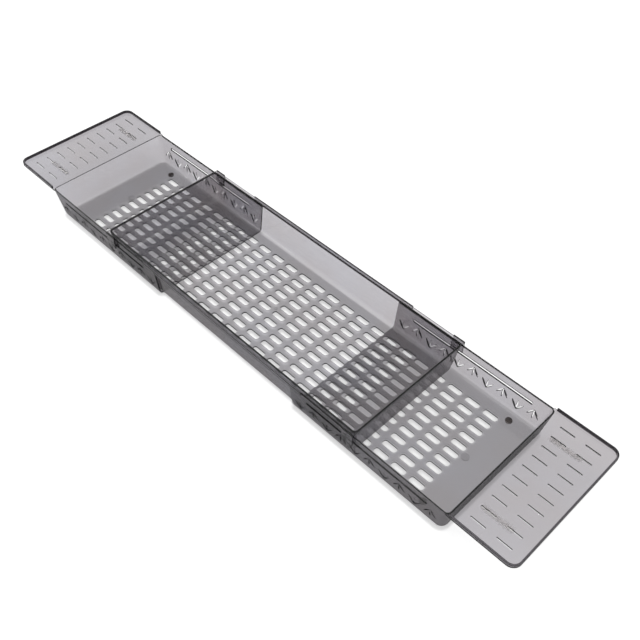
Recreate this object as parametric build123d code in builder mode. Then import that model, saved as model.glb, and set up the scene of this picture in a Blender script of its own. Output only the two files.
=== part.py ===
# Extending bath caddy in three smoked trays
#
# A middle tray rides inside two end trays. Each end tray slides along X on
# two hooks of the middle tray that reach over its rim and into a long slot in
# its side wall. A wing at each outer end, a shallow dish with drain slits that
# is open towards the tray, rests on the edge of the bath.
# X runs along the caddy, Y across it, Z up. The origin is at the bottom centre.
# All sizes are in millimetres, at the length that the caddy is shown at.

from build123d import *
import os

os.makedirs("parts", exist_ok=True)


# Heights, moulding thicknesses and running clearances
overall_height = 40.5
foot_height = 1.4
wall = 1.6
floor_thickness = 1.6
slide_gap = 0.5
side_gap = 0.4

# Middle tray
middle_top_length = 364.6
middle_end_lean = 3.8
middle_corner_radius = 8.0
middle_top_corner_radius = 4.4
middle_bottom_radius = 5.6
full_flange_length = 234.0
flange_thickness = 1.5
flange_notch = 1.2
lip_thickness = 1.2
lip_depth = 4.5

# How far each end tray reaches under the middle tray, as the caddy is shown
rest_overlap = 80.8

# End tray
end_tray_length = 253.0
end_wall_lean = 5.1
rim_drop = 3.6
rim_width = 152.0
side_lean = 3.8
corner_radius = 8.0
top_corner_radius = 4.2
bottom_radius = 5.6

# Wing, a plate at the level of the side rims, with a raised rim on its three outer sides
wing_length = 69.5
wing_overhang = 0.9
wing_lap = 1.5
wing_rim_margin = 3.2
wing_corner_radius = 9.0
wing_edge_radius = 0.7
wing_under_radius = 1.3
wing_bend_radius = 1.4
slit_length = 15.6
slit_width = 1.3
slits_across = 10
slit_side_margin = 13.9
slit_row_pitch = 26.0
slit_end_margin = 20.4

# Slide slots in the side walls of the end trays
slide_inner_margin = 20.5
slide_outer_margin = 19.0
slide_height = 3.2
slide_level = 27.4

# Floor slots, shared by the three trays
slot_length = 16.0
slot_width = 6.4
slot_corner = 2.6
slot_pitch_along = 21.2
slots_across = 10
slot_side_margin = 19.55
end_slot_margin = 42.6
middle_slot_margin = 40.7
slot_ring_margin = 1.5
slot_ring_depth = 0.3

# Pierced pattern of small sprouts in the side walls of the end trays
sprout_pitch = 17.4
sprout_margin = 11.5
sprout_level = 15.4
sprout_height = 12.6
leaf_length = 10.4
leaf_width = 1.5
leaf_reach = 5.2
leaves = 3
leaf_spread = 76.0
upright = 90.0

# Hooks at the four corners of the middle tray
hook_length = 13.4
hook_margin = 0.3
hook_depth = 15.6
peg_margin = 10.0
peg_length = 6.0
peg_height = 2.4
peg_reach = 3.0

# Grip strips under the wings
grip_length = 35.0
grip_width = 8.0
grip_thickness = 1.5
grip_end_margin = 38.0
grip_side_margin = 28.9
grip_groove_width = 1.0
grip_groove_depth = 0.6
grip_groove_pitch = 3.5
grip_groove_count = 8

# Feet under the end trays
foot_diameter = 7.0
foot_recess = 0.6
foot_dimple_diameter = 2.8
foot_dimple_depth = 0.5
foot_end_margin = 27.4
foot_side_margin = 11.2

# Small round marks that the mould leaves under the floors, each a thin raised disc
gate_diameter = 8.0
gate_height = 0.4
gate_margin = 12.2
middle_gate_diameter = 3.6

# A tool passes through a face by this much
cut_past = 5.0


# Places along the caddy, from its middle outwards
inner_end = middle_top_length / 2 - rest_overlap
wing_end = inner_end + end_tray_length
wing_start = wing_end - wing_length
wing_rim_start = wing_start + wing_rim_margin
end_wall_top = wing_start + wing_lap
end_wall_bottom = end_wall_top - end_wall_lean
slide_start = inner_end + slide_inner_margin
slide_end = wing_start - slide_outer_margin
last_slot_row = end_wall_bottom - end_slot_margin
end_slot_rows = 1 + int((last_slot_row - slot_length / 2 - inner_end) / slot_pitch_along)
first_slot_row = last_slot_row - (end_slot_rows - 1) * slot_pitch_along
gate_x = last_slot_row + gate_margin
foot_x = end_wall_bottom - foot_end_margin
outer_slit_row = wing_end - slit_end_margin
inner_slit_row = outer_slit_row - slit_row_pitch
grip_centre_x = wing_end - grip_end_margin
hook_end = middle_top_length / 2 - hook_margin
hook_centre = hook_end - hook_length / 2
peg_centre = hook_end - peg_margin
middle_bottom_length = middle_top_length - 2 * middle_end_lean
middle_slot_rows = 1 + round((middle_bottom_length - 2 * middle_slot_margin) / slot_pitch_along)

# Widths across the caddy
base_width = rim_width - 2 * side_lean
wing_width = rim_width + 2 * wing_overhang
lip_inside = rim_width + 2 * side_gap
flange_width = lip_inside + 2 * lip_thickness
notched_flange_width = flange_width - 2 * flange_notch
slot_pitch_across = (base_width - 2 * slot_side_margin) / (slots_across - 1)
slit_pitch = (wing_width - 2 * slit_side_margin) / (slits_across - 1)
foot_y = base_width / 2 - foot_side_margin
grip_centre_y = wing_width / 2 - grip_side_margin

# Heights
end_floor_under = foot_height
end_floor_top = end_floor_under + floor_thickness
rim_top = overall_height - rim_drop
middle_floor_under = end_floor_top + slide_gap
middle_floor_top = middle_floor_under + floor_thickness
flange_under = overall_height - flange_thickness
wing_under = rim_top - floor_thickness

# How far the walls lean out for each millimetre of height
side_lean_share = side_lean / (rim_top - end_floor_under)
end_lean_share = end_wall_lean / (rim_top - end_floor_under)
middle_lean_share = middle_end_lean / (overall_height - middle_floor_under)


def end_tray_half_width(height):
    return rim_width / 2 - (rim_top - height) * side_lean_share


def end_tray_wall_x(height):
    return end_wall_top - (rim_top - height) * end_lean_share


def middle_half_width(height):
    return end_tray_half_width(height) - wall - side_gap


def middle_half_length(height):
    return middle_top_length / 2 - (overall_height - height) * middle_lean_share


def plan(height, start, finish, half_width, radius, rounded_corners):
    with BuildSketch(Plane.XY.offset(height)) as outline:
        with Locations(((start + finish) / 2, 0)):
            Rectangle(finish - start, 2 * half_width)
        fillet(outline.vertices().sort_by(Axis.X)[-rounded_corners:], radius=radius)
    return outline.sketch


# Outer shape of the right end tray, up to its side rims. Its two far corners get tighter upwards.
with BuildPart() as end_block:
    add(plan(end_floor_under, inner_end, end_tray_wall_x(end_floor_under) + wall,
             end_tray_half_width(end_floor_under), corner_radius, 2))
    add(plan(rim_top, inner_end, end_tray_wall_x(rim_top) + wall,
             end_tray_half_width(rim_top), top_corner_radius, 2))
    loft(ruled=True)
    base = end_block.faces().sort_by(Axis.Z)[0]
    fillet(base.edges().sort_by(Axis.X)[1:], radius=bottom_radius)

# Space inside the end tray, open at its inner end and above
with BuildPart() as end_space:
    add(plan(end_floor_top, inner_end - cut_past, end_tray_wall_x(end_floor_top),
             end_tray_half_width(end_floor_top) - wall, corner_radius - wall, 2))
    add(plan(overall_height + cut_past, inner_end - cut_past, end_tray_wall_x(overall_height + cut_past),
             end_tray_half_width(overall_height + cut_past) - wall, top_corner_radius - wall, 2))
    loft(ruled=True)
    base = end_space.faces().sort_by(Axis.Z)[0]
    fillet(base.edges().sort_by(Axis.X)[1:], radius=bottom_radius - wall)

# Wing of the right end tray. Its raised rim starts a little beyond the end wall.
with BuildPart() as wing:
    with BuildSketch(Plane.XY.offset(wing_under)):
        with Locations(((wing_start + wing_end) / 2, 0)):
            Rectangle(wing_length, wing_width)
    extrude(amount=overall_height - wing_under)
    outer_corners = wing.edges().filter_by(Axis.Z).sort_by(Axis.X)[-2:]
    fillet(outer_corners, radius=wing_corner_radius)
    top_rim = wing.faces().sort_by(Axis.Z)[-1].edges().sort_by(Axis.X)[1:]
    fillet(top_rim, radius=wing_edge_radius)
    lower_rim = wing.faces().sort_by(Axis.Z)[0].edges().sort_by(Axis.X)[1:]
    fillet(lower_rim, radius=wing_under_radius)
    dish_end = wing_end - wall
    with BuildSketch(Plane.XY.offset(rim_top)) as dish:
        with Locations(((wing_start + dish_end) / 2, 0)):
            Rectangle(dish_end - wing_start, wing_width - 2 * wall)
        fillet(dish.vertices().sort_by(Axis.X)[-2:], radius=wing_corner_radius - wall)
        with Locations(((wing_start - cut_past + wing_rim_start) / 2, 0)):
            Rectangle(wing_rim_start - wing_start + cut_past, wing_width + cut_past)
    extrude(amount=overall_height, mode=Mode.SUBTRACT)

# Right end tray
with BuildPart() as right_end_tray:
    add(end_block.part)
    add(wing.part)
    add(end_space.part, mode=Mode.SUBTRACT)

    # soft bend from the wing down into the tray, which runs on along the side rims
    bend = right_end_tray.edges().sort_by_distance((end_wall_top, 0, rim_top))[0]
    fillet(bend, radius=wing_bend_radius)

    # long slide slots through both side walls
    with BuildSketch(Plane.XZ.offset(-rim_width)):
        with Locations(((slide_start + slide_end) / 2, slide_level)):
            SlotOverall(slide_end - slide_start, slide_height)
    extrude(amount=2 * rim_width, mode=Mode.SUBTRACT)

    # sprouts of three leaves pierced through both side walls, every other one hanging
    with BuildSketch(Plane.XZ.offset(-rim_width)):
        sprout_count = 1 + int((wing_start - inner_end - 2 * sprout_margin) / sprout_pitch)
        for step in range(sprout_count):
            way = 1 if step % 2 == 0 else -1
            along = inner_end + sprout_margin + step * sprout_pitch
            with Locations((along, sprout_level - way * sprout_height / 2)):
                with PolarLocations(leaf_reach, leaves, way * upright - leaf_spread / 2, leaf_spread,
                                    endpoint=True):
                    Ellipse(leaf_length / 2, leaf_width / 2)
    extrude(amount=2 * rim_width, mode=Mode.SUBTRACT)

    # floor slots, each in a shallow ring
    rows_centre = (first_slot_row + last_slot_row) / 2
    with BuildSketch(Plane.XY.offset(end_floor_top - slot_ring_depth)):
        with Locations((rows_centre, 0)):
            with GridLocations(slot_pitch_along, slot_pitch_across, end_slot_rows, slots_across):
                RectangleRounded(slot_length + 2 * slot_ring_margin, slot_width + 2 * slot_ring_margin,
                                 slot_corner + slot_ring_margin)
    extrude(amount=slot_ring_depth, mode=Mode.SUBTRACT)
    with BuildSketch(Plane.XY.offset(end_floor_under)):
        with Locations((rows_centre, 0)):
            with GridLocations(slot_pitch_along, slot_pitch_across, end_slot_rows, slots_across):
                RectangleRounded(slot_length, slot_width, slot_corner)
    extrude(amount=floor_thickness, mode=Mode.SUBTRACT)

    # two rows of thin slits through the wing
    with BuildSketch(Plane.XY.offset(rim_top)):
        with Locations(((inner_slit_row + outer_slit_row) / 2, 0)):
            with GridLocations(slit_row_pitch, slit_pitch, 2, slits_across):
                SlotOverall(slit_length, slit_width)
    extrude(amount=-floor_thickness, mode=Mode.SUBTRACT)

    # recesses for the feet and the raised gate mark, all below the floor
    with BuildSketch(Plane.XY.offset(end_floor_under)):
        with Locations((foot_x, foot_y), (foot_x, -foot_y)):
            Circle(foot_diameter / 2)
    extrude(amount=foot_recess, mode=Mode.SUBTRACT)
    with BuildSketch(Plane.XY.offset(end_floor_under)):
        with Locations((gate_x, 0)):
            Circle(gate_diameter / 2)
    extrude(amount=-gate_height)

right_end_tray.part.label = "right_end_tray"
export_step(right_end_tray.part, "parts/right_end_tray.step")

# Left end tray, the mirror image of the right one
with BuildPart() as left_end_tray:
    mirror(right_end_tray.part, about=Plane.YZ)
left_end_tray.part.label = "left_end_tray"
export_step(left_end_tray.part, "parts/left_end_tray.step")


# Outer shape of the middle tray
with BuildPart() as middle_block:
    add(plan(middle_floor_under, -middle_half_length(middle_floor_under),
             middle_half_length(middle_floor_under), middle_half_width(middle_floor_under),
             middle_corner_radius, 4))
    add(plan(overall_height, -middle_half_length(overall_height),
             middle_half_length(overall_height), middle_half_width(overall_height),
             middle_top_corner_radius, 4))
    loft(ruled=True)
    fillet(middle_block.faces().sort_by(Axis.Z)[0].edges(), radius=middle_bottom_radius)

# Space inside the middle tray, open above
with BuildPart() as middle_space:
    add(plan(middle_floor_top, wall - middle_half_length(middle_floor_top),
             middle_half_length(middle_floor_top) - wall, middle_half_width(middle_floor_top) - wall,
             middle_corner_radius - wall, 4))
    add(plan(overall_height + cut_past, wall - middle_half_length(overall_height + cut_past),
             middle_half_length(overall_height + cut_past) - wall,
             middle_half_width(overall_height + cut_past) - wall,
             middle_top_corner_radius - wall, 4))
    loft(ruled=True)
    fillet(middle_space.faces().sort_by(Axis.Z)[0].edges(), radius=middle_bottom_radius - wall)

# Middle tray
with BuildPart() as middle_tray:
    add(middle_block.part)

    # flange over the whole length, fullest over the middle stretch, which has a lip too, and at the hooks
    with BuildSketch(Plane.XY.offset(flange_under)):
        Rectangle(2 * hook_end, notched_flange_width)
        Rectangle(full_flange_length, flange_width)
        with Locations((hook_centre, 0), (-hook_centre, 0)):
            Rectangle(hook_length, flange_width)
    extrude(amount=flange_thickness)
    with BuildSketch(Plane.XY.offset(overall_height - lip_depth)):
        Rectangle(full_flange_length, flange_width)
        Rectangle(full_flange_length, lip_inside, mode=Mode.SUBTRACT)
    extrude(amount=lip_depth)

    # hooks that reach down outside the end trays
    with BuildSketch(Plane.XY.offset(overall_height - hook_depth)):
        with Locations((hook_centre, 0), (-hook_centre, 0)):
            Rectangle(hook_length, flange_width)
            Rectangle(hook_length, lip_inside, mode=Mode.SUBTRACT)
    extrude(amount=hook_depth)
    add(middle_space.part, mode=Mode.SUBTRACT)

    # pegs on the hooks, which run in the slide slots
    for side in (1, -1):
        with BuildSketch(Plane.XZ.offset(-side * lip_inside / 2)):
            with Locations((peg_centre, slide_level), (-peg_centre, slide_level)):
                SlotOverall(peg_length, peg_height)
        extrude(amount=side * peg_reach)

    # floor slots
    with BuildSketch(Plane.XY.offset(middle_floor_under)):
        with GridLocations(slot_pitch_along, slot_pitch_across, middle_slot_rows, slots_across):
            RectangleRounded(slot_length, slot_width, slot_corner)
    extrude(amount=floor_thickness, mode=Mode.SUBTRACT)

    # small raised gate mark below the floor, between four slots
    with BuildSketch(Plane.XY.offset(middle_floor_under)):
        Circle(middle_gate_diameter / 2)
    extrude(amount=-gate_height)
middle_tray.part.label = "middle_tray"
export_step(middle_tray.part, "parts/middle_tray.step")


# Rubber grip strip, stood under a wing, grooved below
with BuildPart() as grip_shape:
    with BuildSketch(Plane.XY.offset(wing_under - grip_thickness)):
        SlotOverall(grip_length, grip_width)
    extrude(amount=grip_thickness)
    with BuildSketch(Plane.XY.offset(wing_under - grip_thickness)):
        with GridLocations(grip_groove_pitch, grip_width, grip_groove_count, 1):
            Rectangle(grip_groove_width, 2 * grip_width)
    extrude(amount=grip_groove_depth, mode=Mode.SUBTRACT)

for end_name, end_side in (("left", -1), ("right", 1)):
    for face_name, face_side in (("front", -1), ("back", 1)):
        node_name = end_name + "_" + face_name + "_grip_strip"
        with BuildPart() as grip:
            with Locations((end_side * grip_centre_x, face_side * grip_centre_y)):
                add(grip_shape.part)
        grip.part.label = node_name
        export_step(grip.part, "parts/" + node_name + ".step")


# Rubber foot, set in its recess, dimpled below
with BuildPart() as foot_shape:
    with BuildSketch():
        Circle(foot_diameter / 2)
    extrude(amount=foot_height + foot_recess)
    with BuildSketch():
        Circle(foot_dimple_diameter / 2)
    extrude(amount=foot_dimple_depth, mode=Mode.SUBTRACT)

for end_name, end_side in (("left", -1), ("right", 1)):
    for face_name, face_side in (("front", -1), ("back", 1)):
        node_name = end_name + "_" + face_name + "_foot"
        with BuildPart() as foot:
            with Locations((end_side * foot_x, face_side * foot_y)):
                add(foot_shape.part)
        foot.part.label = node_name
        export_step(foot.part, "parts/" + node_name + ".step")
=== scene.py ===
# %% [markdown]
# An extending bath caddy in smoked, see-through plastic. A middle tray rides inside two end trays,
# and each end tray ends in a wing, a shallow dish that rests on the rim of the bath.
# The solids come in as a fixed frame, in metres, with Z up and the caddy lying along X.
# This lesson gives them their finish, adds the soft rubber parts, and sets up the floor, the light
# and the camera.

# %% Load the frame
import math

import bmesh
import bpy
from mathutils import Matrix, Vector


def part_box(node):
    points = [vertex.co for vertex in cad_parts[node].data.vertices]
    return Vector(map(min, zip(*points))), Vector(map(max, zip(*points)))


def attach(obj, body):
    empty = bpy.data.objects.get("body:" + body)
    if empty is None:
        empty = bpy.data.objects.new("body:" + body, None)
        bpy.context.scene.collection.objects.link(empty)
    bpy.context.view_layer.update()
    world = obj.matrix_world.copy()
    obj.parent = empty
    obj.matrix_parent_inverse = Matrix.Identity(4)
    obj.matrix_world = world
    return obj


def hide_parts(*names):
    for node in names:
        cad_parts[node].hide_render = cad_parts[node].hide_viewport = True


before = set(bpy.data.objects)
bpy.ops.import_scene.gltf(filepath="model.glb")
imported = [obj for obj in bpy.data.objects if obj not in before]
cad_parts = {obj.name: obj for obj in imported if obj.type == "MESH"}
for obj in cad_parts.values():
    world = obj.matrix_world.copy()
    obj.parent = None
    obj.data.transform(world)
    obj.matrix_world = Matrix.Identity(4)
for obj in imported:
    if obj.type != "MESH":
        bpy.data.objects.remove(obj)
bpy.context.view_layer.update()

millimetre = 0.001

# %% [markdown]
# Every material here is a graph of nodes, so one short helper adds a node, sets its sockets and
# links it up. A value that is a socket becomes a link, and any other value is set on the socket.
# Some nodes have several sockets of one name, so i0, i1 and so on mean a socket by its number.

# %% A helper that adds one node


def add_node(tree, kind, settings=None, **inputs):
    node = tree.nodes.new(kind)
    for name, value in (settings or {}).items():
        setattr(node, name, value)
    for name, value in inputs.items():
        by_number = name[0] == "i" and name[1:].isdigit()
        socket = node.inputs[int(name[1:]) if by_number else name.replace("_", " ")]
        if isinstance(value, bpy.types.NodeSocket):
            tree.links.new(value, socket)
        else:
            socket.default_value = value
    return node


# %% [markdown]
# A few kinds of node come up again and again. Each gets a helper that hands back the socket with
# its result, so that a graph reads like a formula.

# %% Helpers for the nodes that come up most


def calculate(tree, operation, *values):
    sockets = {"i" + str(index): value for index, value in enumerate(values)}
    return add_node(tree, "ShaderNodeMath", {"operation": operation}, **sockets).outputs[0]


def object_place(tree):
    return add_node(tree, "ShaderNodeTexCoord").outputs["Object"]


def noise(tree, place, scale, detail):
    return add_node(tree, "ShaderNodeTexNoise", Vector=place,
                    Scale=scale, Detail=detail).outputs["Fac"]


def change_range(tree, value, old_low, old_high, new_low, new_high):
    return add_node(tree, "ShaderNodeMapRange", Value=value,
                    i1=old_low, i2=old_high, i3=new_low, i4=new_high).outputs[0]


def mix_numbers(tree, share, first, second):
    return add_node(tree, "ShaderNodeMix", {"data_type": "FLOAT"},
                    Factor=share, i2=first, i3=second).outputs[0]


def mix_colours(tree, share, first, second):
    return add_node(tree, "ShaderNodeMix", {"data_type": "RGBA"},
                    Factor=share, i6=first, i7=second).outputs[2]


# %% [markdown]
# An effect that several materials need is a group of nodes. It is built once, with named inputs,
# and each material places it with values of its own. Every group here puts out a single number
# that changes over the surface.

# %% Helpers that build a group and place it


def new_group(name, output, **inputs):
    group = bpy.data.node_groups.new(name, "ShaderNodeTree")
    for label, start in inputs.items():
        group.interface.new_socket(label.replace("_", " "), in_out="INPUT",
                                   socket_type="NodeSocketFloat").default_value = start
    group.interface.new_socket(output, in_out="OUTPUT", socket_type="NodeSocketFloat")
    given = group.nodes.new("NodeGroupInput").outputs
    return group, given, group.nodes.new("NodeGroupOutput").inputs[output]


def placed(tree, group, **values):
    return add_node(tree, "ShaderNodeGroup", {"node_tree": group}, **values).outputs[0]


# %% [markdown]
# A moulded sheet of clear plastic is never quite flat: it cools unevenly, so what lies behind it
# swims a little. That is a slow wave in its height, with a much finer ripple on top. A bump is
# enough for it, because the waves are far too shallow to show in an outline.

# %% A group for the waves of moulding
waves, given, result = new_group(
    "moulding_waves", "Height", Waves_Per_Metre=40.0, Ripples_Per_Metre=400.0, Ripple_Share=0.2)
place = object_place(waves)
slow = noise(waves, place, given["Waves Per Metre"], 1.0)
fine = noise(waves, place, given["Ripples Per Metre"], 2.0)
ripple = calculate(waves, "MULTIPLY", fine, given["Ripple Share"])
waves.links.new(calculate(waves, "ADD", slow, ripple), result)
print("group", waves.name, "holds", len(waves.nodes), "nodes")

# %% [markdown]
# Nothing that is mixed before it is moulded comes out wholly even. The resin has faint clouds in
# its colour, and the silicone and the rubber have a fine grain as well. All of them are the same
# noise, only finer or coarser.

# %% A group for clouds and grain
uneven_mix, given, result = new_group("uneven_mix", "Share", Patches_Per_Metre=100.0, Detail=3.0)
patches = noise(uneven_mix, object_place(uneven_mix), given["Patches Per Metre"], given["Detail"])
uneven_mix.links.new(patches, result)
print("group", uneven_mix.name, "holds", len(uneven_mix.nodes), "nodes")

# %% [markdown]
# Handling leaves hair-thin scratches and a thin film of dust. Both show as places that are a
# little less glossy. The scratches are noise stretched long and thin, in two directions, of which
# only the crests are kept. Drawn scratches would look as good, but they would need an image and a
# way to wrap it round the trays.

# %% A group for scratches and dust
handling, given, result = new_group(
    "handling_marks", "Roughness", Clean_Roughness=0.04, Scratch_Depth=0.1, Dust_Depth=0.05)
place = object_place(handling)
crest_from, crest_full = 0.68, 0.80
scratches = 0.0
for turn, stretch in ((0.35, (30.0, 1400.0, 200.0)), (-0.6, (1600.0, 40.0, 260.0))):
    stretched = add_node(handling, "ShaderNodeMapping", Vector=place,
                         Rotation=(0.0, 0.0, turn), Scale=stretch).outputs[0]
    crest = noise(handling, stretched, 1.0, 1.0)
    crest = change_range(handling, crest, crest_from, crest_full, 0.0, 1.0)
    scratches = calculate(handling, "MAXIMUM", scratches, crest)
film_from, film_full = 0.45, 0.75
film = noise(handling, place, 28.0, 4.0)
film = change_range(handling, film, film_from, film_full, 0.0, 1.0)
scratched = calculate(
    handling, "MULTIPLY_ADD", scratches, given["Scratch Depth"], given["Clean Roughness"])
dusty = calculate(handling, "MULTIPLY_ADD", film, given["Dust Depth"], scratched)
handling.links.new(dusty, result)
print("group", handling.name, "holds", len(handling.nodes), "nodes")

# %% [markdown]
# Light that leaves a sheet by its narrow end face has run through centimetres of dye. So wherever
# the sheet ends, at a slot, a slit or a rim, that face looks nearly black. This group finds those
# faces, and the plastic paints them nearly black as painted shade. They stand upright, and they
# lie within the thickness of the floor or near the top of a rim. On a wing's raised rim the inner
# side is painted dark further down than the outer one, so there are two levels, and the side that
# a face is on follows from its direction and the middle of the dish.
# A stronger dye would darken the end faces too, but it would blacken the walls with them.

# %% A group that finds the dark end faces
end_faces, given, result = new_group(
    "end_faces", "End Face", Floor_Top=3.0 * millimetre, Inner_From=37.0 * millimetre,
    Outer_From=39.4 * millimetre, Most_Lean=0.5, Middle_X=0.0)
own = add_node(end_faces, "ShaderNodeTexCoord").outputs
spot = add_node(end_faces, "ShaderNodeSeparateXYZ", Vector=own["Object"]).outputs
facing = add_node(end_faces, "ShaderNodeSeparateXYZ", Vector=own["Normal"]).outputs
leaning = calculate(end_faces, "ABSOLUTE", facing["Z"])
upright = calculate(end_faces, "LESS_THAN", leaning, given["Most Lean"])
in_floor = calculate(end_faces, "LESS_THAN", spot["Z"], given["Floor Top"])
from_middle = calculate(end_faces, "SUBTRACT", spot["X"], given["Middle X"])
outwards = calculate(end_faces, "MULTIPLY", from_middle, facing["X"])
outwards = calculate(end_faces, "MULTIPLY_ADD", spot["Y"], facing["Y"], outwards)
is_outer = calculate(end_faces, "GREATER_THAN", outwards, 0.0)
rim_from = mix_numbers(end_faces, is_outer, given["Inner From"], given["Outer From"])
in_rim = calculate(end_faces, "GREATER_THAN", spot["Z"], rim_from)
in_either = calculate(end_faces, "MAXIMUM", in_floor, in_rim)
end_faces.links.new(calculate(end_faces, "MULTIPLY", upright, in_either), result)
print("group", end_faces.name, "holds", len(end_faces.nodes), "nodes")

# %% [markdown]
# The smoked plastic itself is a clear resin with a grey dye all through it. So the grey of its walls
# isn't painted on: light that goes through one wall comes out a cool light grey, and light that runs
# along a wall comes out nearly black. A volume that absorbs light does exactly that. A small tint at
# the surface does the rest. The deep, nearly black tint on the end faces is painted shade, in place
# of the dark that the long way behind an end face would give them.

# %% The smoked plastic
warm_smoke, cool_smoke = (0.94, 0.92, 0.92, 1.0), (0.97, 0.975, 1.0, 1.0)
clouds_from, clouds_full = 0.35, 0.65
# The end faces get a painted shade, nearly black, and a duller gloss.
end_face_painted_shade, end_face_roughness = (0.04, 0.035, 0.04, 1.0), 0.35
dye_colour = (0.50, 0.485, 0.505, 1.0)


def new_material(name):
    material = bpy.data.materials.new(name)
    material.use_nodes = True
    return material, material.node_tree, material.node_tree.nodes["Principled BSDF"]


def add_bump(tree, shader, height, strength, depth):
    bump = add_node(tree, "ShaderNodeBump", Height=height, Strength=strength, Distance=depth)
    tree.links.new(bump.outputs[0], shader.inputs["Normal"])


def smoked_plastic(name, floor_top, inner_from, outer_from, middle_x, density):
    material, tree, shader = new_material(name)
    shader.inputs["IOR"].default_value = 1.49
    shader.inputs["Transmission Weight"].default_value = 1.0
    shader.inputs["Metallic"].default_value = 0.0
    add_bump(tree, shader, placed(tree, waves, Waves_Per_Metre=30.0),
             strength=0.12, depth=millimetre)

    end_face = placed(tree, end_faces, Floor_Top=floor_top, Inner_From=inner_from,
                      Outer_From=outer_from, Middle_X=middle_x)
    handled = placed(tree, handling, Clean_Roughness=0.02, Scratch_Depth=0.10, Dust_Depth=0.03)
    satin = mix_numbers(tree, end_face, handled, end_face_roughness)
    tree.links.new(satin, shader.inputs["Roughness"])

    clouds = placed(tree, uneven_mix, Patches_Per_Metre=14.0)
    clouds = change_range(tree, clouds, clouds_from, clouds_full, 0.0, 1.0)
    smoke = mix_colours(tree, clouds, warm_smoke, cool_smoke)
    # Painted shade: the end faces are tinted nearly black.
    tree.links.new(mix_colours(tree, end_face, smoke, end_face_painted_shade), shader.inputs["Base Color"])

    dye = add_node(tree, "ShaderNodeVolumeAbsorption", Color=dye_colour, Density=density)
    tree.links.new(dye.outputs[0], tree.nodes["Material Output"].inputs["Volume"])
    return material


# %% [markdown]
# The three trays differ in where their end faces lie and in how strong the dye is. The middle
# tray's floor slides just above the floors of the end trays, so it lies higher, and both sides of
# its rim are alike. The lengths are in millimetres. A higher density of the dye is darker.

# %% Finish the trays
wing_middle = 320.0
middle_tray = {"floor_top": 5.1, "inner_from": 39.0, "outer_from": 39.0, "middle_x": 0.0}
end_tray = {"floor_top": 3.0, "inner_from": 37.0, "outer_from": 39.4}
tray_finishes = {
    "middle_tray": (middle_tray, 820.0),
    "left_end_tray": ({**end_tray, "middle_x": -wing_middle}, 930.0),
    "right_end_tray": ({**end_tray, "middle_x": wing_middle}, 930.0),
}
for node_name, (sizes, density) in tray_finishes.items():
    lengths = {name: size * millimetre for name, size in sizes.items()}
    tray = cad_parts[node_name]
    tray.data.materials.clear()
    tray.data.materials.append(smoked_plastic("smoked_" + node_name, density=density, **lengths))
    print(node_name, "is finished in", tray.data.materials[0].name)

# %% [markdown]
# Under each wing lie two soft strips that grip the rim of the bath. They are clear silicone with a
# milky haze, so from above they are only a blurred, slightly brown patch. The haze is thickest
# along the middle of a strip and thins out to its edge, so a group works out how far each point
# lies from the strip's middle line.

# %% A group for the cloudy core of a strip
cloudy_core, given, result = new_group(
    "cloudy_core", "Cloudiness", Straight_Half=13.5 * millimetre, Clear_From=3.9 * millimetre,
    Cloudy_From=0.6 * millimetre, Most=0.65)
spot = add_node(cloudy_core, "ShaderNodeSeparateXYZ", Vector=object_place(cloudy_core)).outputs
along = calculate(cloudy_core, "ABSOLUTE", spot["X"])
past = calculate(cloudy_core, "SUBTRACT", along, given["Straight Half"])
past = calculate(cloudy_core, "MAXIMUM", past, 0.0)
flat_place = add_node(cloudy_core, "ShaderNodeCombineXYZ", X=past, Y=spot["Y"]).outputs[0]
from_core = add_node(cloudy_core, "ShaderNodeVectorMath", {"operation": "LENGTH"}, i0=flat_place)
fade = add_node(cloudy_core, "ShaderNodeMapRange", {"interpolation_type": "SMOOTHSTEP"},
                Value=from_core.outputs["Value"], i1=given["Cloudy From"], i2=given["Clear From"],
                i3=given["Most"], i4=0.0)
cloudy_core.links.new(fade.outputs[0], result)
print("group", cloudy_core.name, "holds", len(cloudy_core.nodes), "nodes")

# %% [markdown]
# The haze itself is a rough refraction: light goes through, but it is scattered. The cloudy core
# feeds Alpha, so the edge of a strip nearly vanishes, as clear silicone on a clear wing does.

# %% Hazy silicone


def hazy_silicone(name):
    material, tree, shader = new_material(name)
    shader.inputs["IOR"].default_value = 1.41
    shader.inputs["Transmission Weight"].default_value = 1.0
    clouds = placed(tree, uneven_mix, Patches_Per_Metre=160.0)
    brownish, pale = (0.92, 0.89, 0.86, 1.0), (0.96, 0.94, 0.92, 1.0)
    tree.links.new(mix_colours(tree, clouds, brownish, pale), shader.inputs["Base Color"])
    thin_cloud, thick_cloud = 0.3, 0.7
    least_rough, most_rough = 0.75, 0.90
    haze = change_range(tree, clouds, thin_cloud, thick_cloud, least_rough, most_rough)
    tree.links.new(haze, shader.inputs["Roughness"])
    grain = placed(tree, uneven_mix, Patches_Per_Metre=2500.0, Detail=2.0)
    add_bump(tree, shader, grain, strength=0.2, depth=0.2 * millimetre)
    tree.links.new(placed(tree, cloudy_core), shader.inputs["Alpha"])
    return material


silicone = hazy_silicone("hazy_silicone")
print("made", silicone.name)

# %% [markdown]
# The underside of a strip is ribbed, and its ends are round. So a strip is a row of rounded
# cross-sections joined up, each as wide as the outline is there and as deep as the rib is there.
# The sections crowd together towards the round ends, where the outline turns fastest. A block with
# bevelled edges would be quicker to make, but it would have no ribs when it is seen from the side.

# %% A helper that makes a smooth piece
glue_gap = 0.05 * millimetre


def smooth_piece(name, mesh, material, shift=(0.0, 0.0, 0.0)):
    bmesh.ops.recalc_face_normals(mesh, faces=mesh.faces)
    bmesh.ops.translate(mesh, verts=mesh.verts, vec=shift)
    data = bpy.data.meshes.new(name)
    mesh.to_mesh(data)
    mesh.free()
    data.shade_smooth()
    data.materials.append(material)
    piece = bpy.data.objects.new(name, data)
    bpy.context.scene.collection.objects.link(piece)
    return piece


# %% The shape of a grip strip


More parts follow.
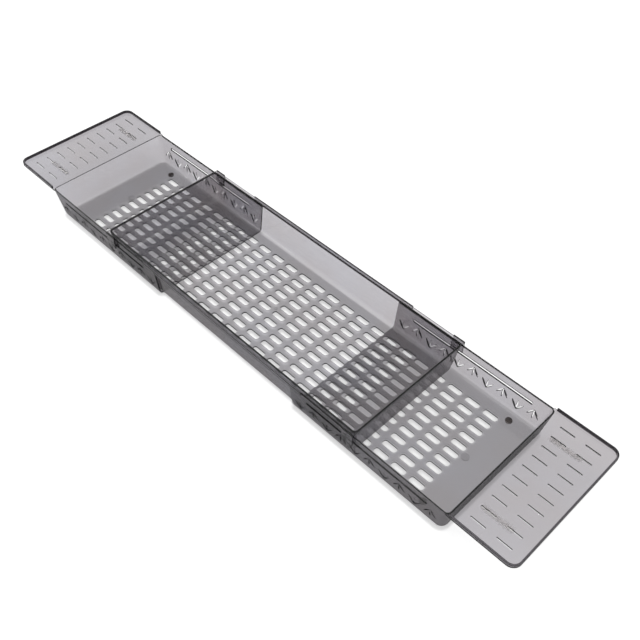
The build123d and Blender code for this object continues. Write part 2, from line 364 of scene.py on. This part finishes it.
def grip_strip(node, material):
    low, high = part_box(node)
    length, width = high.x - low.x, high.y - low.y
    middle = (low + high) / 2
    top, bottom = high.z - glue_gap, low.z
    edge, thinnest, roundest = 0.9 * millimetre, 0.02 * millimetre, 0.9
    rib_pitch, rib_height = 3.5 * millimetre, 0.6 * millimetre
    stations, corner_steps = 161, 5
    corners = ((1, 1, 0.0), (-1, 1, 0.5), (-1, -1, 1.0), (1, -1, 1.5))
    mesh = bmesh.new()
    rings = []
    for index in range(stations):
        angle = math.pi * index / (stations - 1)
        along = -0.5 * length * math.cos(angle)
        past_straight = max(0.0, abs(along) - (length - width) / 2)
        half = math.sqrt(max(0.0, (width / 2) ** 2 - past_straight ** 2))
        half = max(half, thinnest)
        wave = 0.5 + 0.5 * math.cos(2 * math.pi * along / rib_pitch)
        under = bottom + rib_height * (1.0 - math.sqrt(wave))
        round_off = min(edge, half * roundest, (top - under) / 2)
        ring = []
        for side_y, side_z, start in corners:
            centre_y = side_y * (half - round_off)
            centre_z = top - round_off if side_z > 0 else under + round_off
            for step in range(corner_steps):
                turn = math.pi * (start + 0.5 * step / (corner_steps - 1))
                ring.append(mesh.verts.new((along, centre_y + round_off * math.cos(turn),
                                            centre_z - middle.z + round_off * math.sin(turn))))
        rings.append(ring)
    for first, second in zip(rings, rings[1:]):
        for index in range(len(first)):
            after = (index + 1) % len(first)
            mesh.faces.new((first[index], first[after], second[after], second[index]))
    mesh.faces.new(rings[0][::-1])
    mesh.faces.new(rings[-1])
    strip = smooth_piece("soft_" + node, mesh, material)
    strip.location = middle
    return strip


# %% Lay the four strips
for body_name in ("left_end", "right_end"):
    for side in ("front", "back"):
        node_name = body_name.replace("end", side) + "_grip_strip"
        strip = grip_strip(node_name, silicone)
        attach(strip, body_name)
        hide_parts(node_name)
        print(strip.name, "has", len(strip.data.vertices), "points")

# %% [markdown]
# The feet are small brownish rubber buttons pressed into round recesses. The rubber lets a little
# light through, so the middle of a foot is paler than its rim. Its grain shows in the colour, in
# the gloss and in the skin, so one noise drives all three.

# %% Brownish rubber


def rubber(name, shade, roughness):
    material, tree, shader = new_material(name)
    shader.inputs["Specular IOR Level"].default_value = 0.3
    shader.inputs["Transmission Weight"].default_value = 0.6
    grain = placed(tree, uneven_mix, Patches_Per_Metre=900.0)
    darker, lighter = [(*[change * level for level in shade], 1.0) for change in (0.8, 1.2)]
    tree.links.new(mix_colours(tree, grain, darker, lighter), shader.inputs["Base Color"])
    either_way = 0.1
    rough = change_range(tree, grain, 0.0, 1.0, roughness - either_way, roughness + either_way)
    tree.links.new(rough, shader.inputs["Roughness"])
    add_bump(tree, shader, grain, strength=0.3, depth=0.2 * millimetre)
    return material


dark_rubber = rubber("dark_rubber", (0.42, 0.37, 0.35), 0.6)
print("made", dark_rubber.name)

# %% [markdown]
# Each foot is turned from one profile, like a piece on a lathe. The profile starts in the dimple
# below, goes round the soft edge and up the side, and ends at the middle of the top. A cylinder
# with bevelled edges would come close, but the dimple would still have to be cut into it.

# %% The shape of a foot


def turned_foot(node, material):
    low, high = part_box(node)
    middle = (low + high) / 2
    inside = (high.x - low.x) / 2 - glue_gap
    top = high.z - glue_gap
    soft = 0.5 * millimetre
    soft_top = soft / 2
    dimple_radius, dimple_depth = 1.4 * millimetre, 0.5 * millimetre
    low_steps, top_steps, turns = 6, 3, 48
    profile = [(0.0, low.z + dimple_depth)]
    for step in range(1, low_steps + 1):
        share = step / low_steps
        profile.append((dimple_radius * share, low.z + dimple_depth * math.cos(share * math.pi / 2)))
    for step in range(low_steps + 1):
        turn = math.pi / 2 * step / low_steps
        profile.append((inside - soft + soft * math.sin(turn), low.z + soft - soft * math.cos(turn)))
    for step in range(top_steps + 1):
        turn = math.pi / 2 * step / top_steps
        profile.append((inside - soft_top + soft_top * math.cos(turn),
                        top - soft_top + soft_top * math.sin(turn)))
    profile.append((0.0, top))
    mesh = bmesh.new()
    points = [mesh.verts.new((across, 0.0, up)) for across, up in profile]
    edges = [mesh.edges.new(pair) for pair in zip(points, points[1:])]
    bmesh.ops.spin(mesh, geom=points + edges, cent=(0, 0, 0), axis=(0, 0, 1),
                   angle=2 * math.pi, steps=turns, use_merge=True)
    bmesh.ops.remove_doubles(mesh, verts=mesh.verts, dist=0.001 * millimetre)
    return smooth_piece("turned_" + node, mesh, material, shift=(middle.x, middle.y, 0.0))


# %% Set the four feet
for body_name in ("left_end", "right_end"):
    for side in ("front", "back"):
        node_name = body_name.replace("end", side) + "_foot"
        foot = turned_foot(node_name, dark_rubber)
        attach(foot, body_name)
        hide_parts(node_name)
        print(foot.name, "has", len(foot.data.vertices), "points")

# %% [markdown]
# The caddy stands on a plain white surface that runs on without an edge. To the camera, and to
# light that comes through the plastic, the surface glows white, and the object's shadow stays on
# it as a soft grey. In a reflection it glows only a fifth as much, or the dark end faces would turn
# pale. The glow fades where something lies within a few millimetres above the surface, so the
# drain slots look down on a light grey, as in the shade below a real tray.

# %% The floor
floor_reach, below_feet = 6.0, 0.2 * millimetre
corner_signs = ((-1, -1), (1, -1), (1, 1), (-1, 1))
floor_mesh = bpy.data.meshes.new("floor")
floor_mesh.from_pydata([(x * floor_reach, y * floor_reach, 0.0) for x, y in corner_signs],
                       [], [(0, 1, 2, 3)])
floor = bpy.data.objects.new("floor", floor_mesh)
bpy.context.scene.collection.objects.link(floor)
floor.location.z = -below_feet
print("the floor is", 2 * floor_reach, "metres square")

# %% The floor's glow
floor_material, tree, shader = new_material("white_floor")
shader.inputs["Base Color"].default_value = (0.9, 0.9, 0.9, 1.0)
shader.inputs["Roughness"].default_value = 0.9
shader.inputs["Specular IOR Level"].default_value = 0.0
shader.inputs["Emission Color"].default_value = (1.0, 1.0, 1.0, 1.0)
glossy_share = 0.2
open_glow, covered_glow, covered_at = 0.86, 0.54, 0.75
path = add_node(tree, "ShaderNodeLightPath").outputs
seen = calculate(tree, "MAXIMUM", path["Is Camera Ray"], path["Is Transmission Ray"])
seen = calculate(tree, "MULTIPLY_ADD", path["Is Glossy Ray"], glossy_share, seen)
closeness = add_node(tree, "ShaderNodeAmbientOcclusion", {"samples": 8}, Distance=5.0 * millimetre)
glow = change_range(tree, closeness.outputs["AO"], covered_at, 1.0, covered_glow, open_glow)
tree.links.new(calculate(tree, "MULTIPLY", seen, glow), shader.inputs["Emission Strength"])
floor_mesh.materials.append(floor_material)
print("the floor glows at", open_glow, "in the open and at", covered_glow, "below the caddy")

# %% [markdown]
# The room round the caddy is white. The camera sees it at full strength. In a reflection it is a
# little weaker. Light through the plastic and light on plain surfaces takes far less of it, because
# the room would otherwise wash out the dye and the shadow.

# %% The white room
direct, reflected, through_plastic, on_surfaces = 1.0, 0.75, 0.20, 0.18
world = bpy.data.worlds.new("white_room")
bpy.context.scene.world = world
world.use_nodes = True
tree = world.node_tree
background = tree.nodes["Background"]
background.inputs["Color"].default_value = (1.0, 1.0, 1.0, 1.0)
path = add_node(tree, "ShaderNodeLightPath").outputs
strength = mix_numbers(tree, path["Is Glossy Ray"], direct, reflected)
strength = mix_numbers(tree, path["Is Transmission Ray"], strength, through_plastic)
strength = mix_numbers(tree, path["Is Diffuse Ray"], strength, on_surfaces)
tree.links.new(strength, background.inputs["Strength"])
print("made", world.name)

# %% [markdown]
# Two soft lamps do the rest. A wide one overhead gives the shadow below the caddy, and a smaller
# one at the left front puts a soft sheen on the walls and wings. Both are faint, because the floor
# and the room already light the plastic from all round.

# %% Lamps


def soft_lamp(name, place, target, size, power):
    lamp = bpy.data.lights.new(name, "AREA")
    lamp.shape = "RECTANGLE"
    lamp.size, lamp.size_y = size
    lamp.energy = power
    lamp_object = bpy.data.objects.new(name, lamp)
    lamp_object.location = place
    lamp_object.rotation_euler = (Vector(target) - Vector(place)).to_track_quat("-Z", "Y").to_euler()
    bpy.context.scene.collection.objects.link(lamp_object)
    print(name, "shines with", power, "watts")


soft_lamp("overhead_softbox", place=(0.0, 0.1, 1.6), target=(0.0, 0.0, 0.0),
          size=(1.8, 1.2), power=3.5)
soft_lamp("side_softbox", place=(-1.5, -1.1, 0.9), target=(0.0, 0.0, 0.02),
          size=(0.9, 0.5), power=4.0)

# %% [markdown]
# The camera looks down the caddy from its right front corner, at about 47 degrees above the floor.
# Its place, its direction and its lens were found by laying the slots of the real one over a
# picture of it. The three directions are made exactly square to each other before they are used.

# %% Camera
camera_place = Vector((0.4524, -0.4020, 0.6481))
looks_along = Vector((-0.4771, 0.4787, -0.7370)).normalized()
picture_right = Vector((0.6992, 0.7148, 0.0116))
picture_right = (picture_right - picture_right.dot(looks_along) * looks_along).normalized()
picture_up = picture_right.cross(looks_along)
camera_data = bpy.data.cameras.new("camera")
camera_data.sensor_width = 36.0
camera_data.lens = 47.75
camera_data.shift_x = 0.0142
camera_data.shift_y = -0.0020
camera = bpy.data.objects.new("camera", camera_data)
bpy.context.scene.collection.objects.link(camera)
camera_turn = Matrix((picture_right, picture_up, -looks_along)).transposed().to_4x4()
camera.matrix_world = Matrix.Translation(camera_place) @ camera_turn
bpy.context.scene.camera = camera
print("the camera has a lens of", camera_data.lens, "millimetres")

# %% [markdown]
# The Standard view shows a colour as it is written. The soft parts stay inside the solids that
# they replace.

# %% Colours as written
bpy.context.scene.view_settings.view_transform = "Standard"
